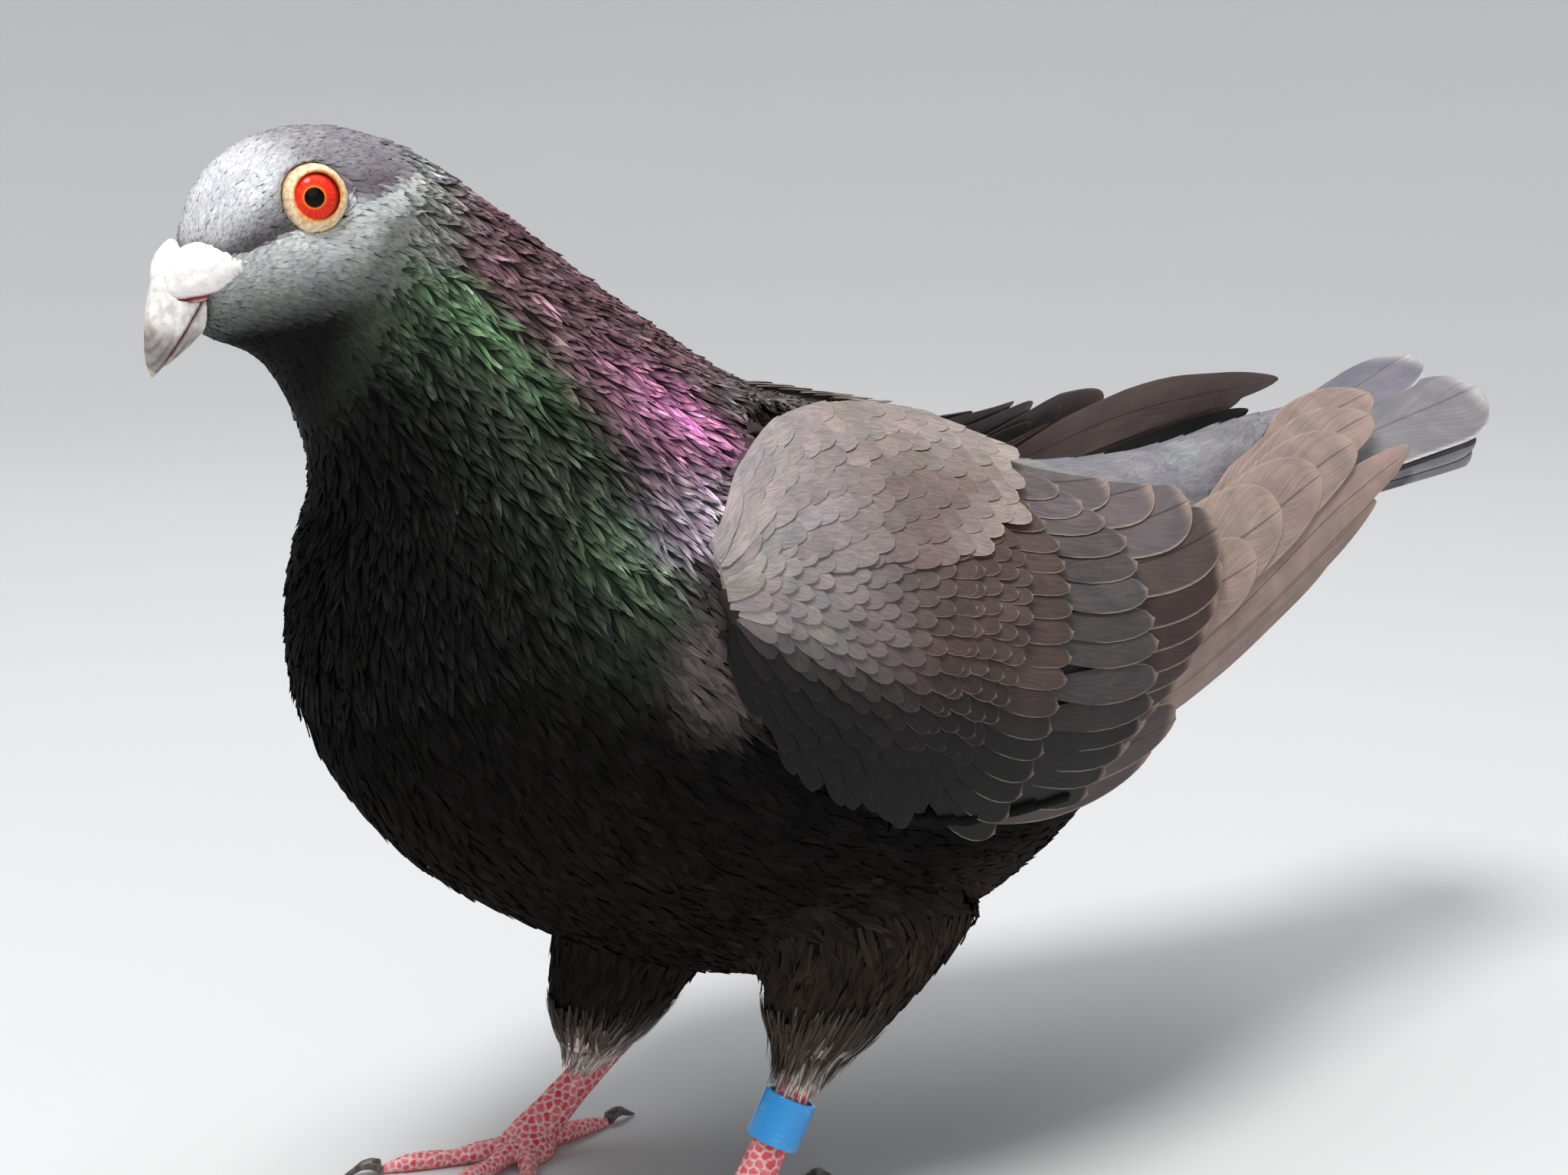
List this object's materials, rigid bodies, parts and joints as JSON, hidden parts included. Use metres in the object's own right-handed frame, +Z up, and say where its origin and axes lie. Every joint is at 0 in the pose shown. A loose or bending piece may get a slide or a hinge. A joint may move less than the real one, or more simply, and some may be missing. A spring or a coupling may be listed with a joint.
{
  "type": "pigeon",
  "caption": "Life-size still model of a dark homing pigeon, standing with neck stretched forward, wings folded and a plain blue ring on its left leg.",
  "frame": {"origin": "on the floor, under the middle of the outline's box", "axes": "+Z up; the pigeon faces -Y and its left side is +X"},
  "size_m": [0.1082, 0.3044, 0.1976],
  "materials": {
    "plumage": "charcoal feathers with a green and purple gloss on the neck",
    "wing": "brownish grey feathers with pale edges",
    "tail": "blue-grey feathers",
    "bill": "pinkish grey horn, dark near the tip",
    "cere": "chalky white skin",
    "eye": "wet, bright red with a dark pupil",
    "lid": "bare cream and orange skin",
    "skin": "pinkish red scales with a pale net between them",
    "claw": "dark horn",
    "ring": "bright light blue, bare"
  },
  "bodies": {
    "root": {"bill_lower": "bill", "bill_upper": "bill", "cere_left": "cere", "cere_right": "cere", "claw_hind_left": "claw", "claw_hind_right": "claw", "claw_inner_left": "claw", "claw_inner_right": "claw", "claw_middle_left": "claw", "claw_middle_right": "claw", "claw_outer_left": "claw", "claw_outer_right": "claw", "eye_left": "eye", "eye_right": "eye", "eyelid_left": "lid", "eyelid_right": "lid", "foot_left": "skin", "foot_right": "skin", "head": "plumage", "leg_ring": "ring", "neck": "plumage", "primaries_left": "wing", "primaries_right": "wing", "secondaries_left": "wing", "secondaries_right": "wing", "shank_left": "skin", "shank_right": "skin", "tail": "tail", "thigh_left": "plumage", "thigh_right": "plumage", "toe_hind_left": "skin", "toe_hind_right": "skin", "toe_inner_left": "skin", "toe_inner_right": "skin", "toe_middle_left": "skin", "toe_middle_right": "skin", "toe_outer_left": "skin", "toe_outer_right": "skin", "trunk": "plumage", "wing_left": "wing", "wing_right": "wing"}
  },
  "joints": []
}
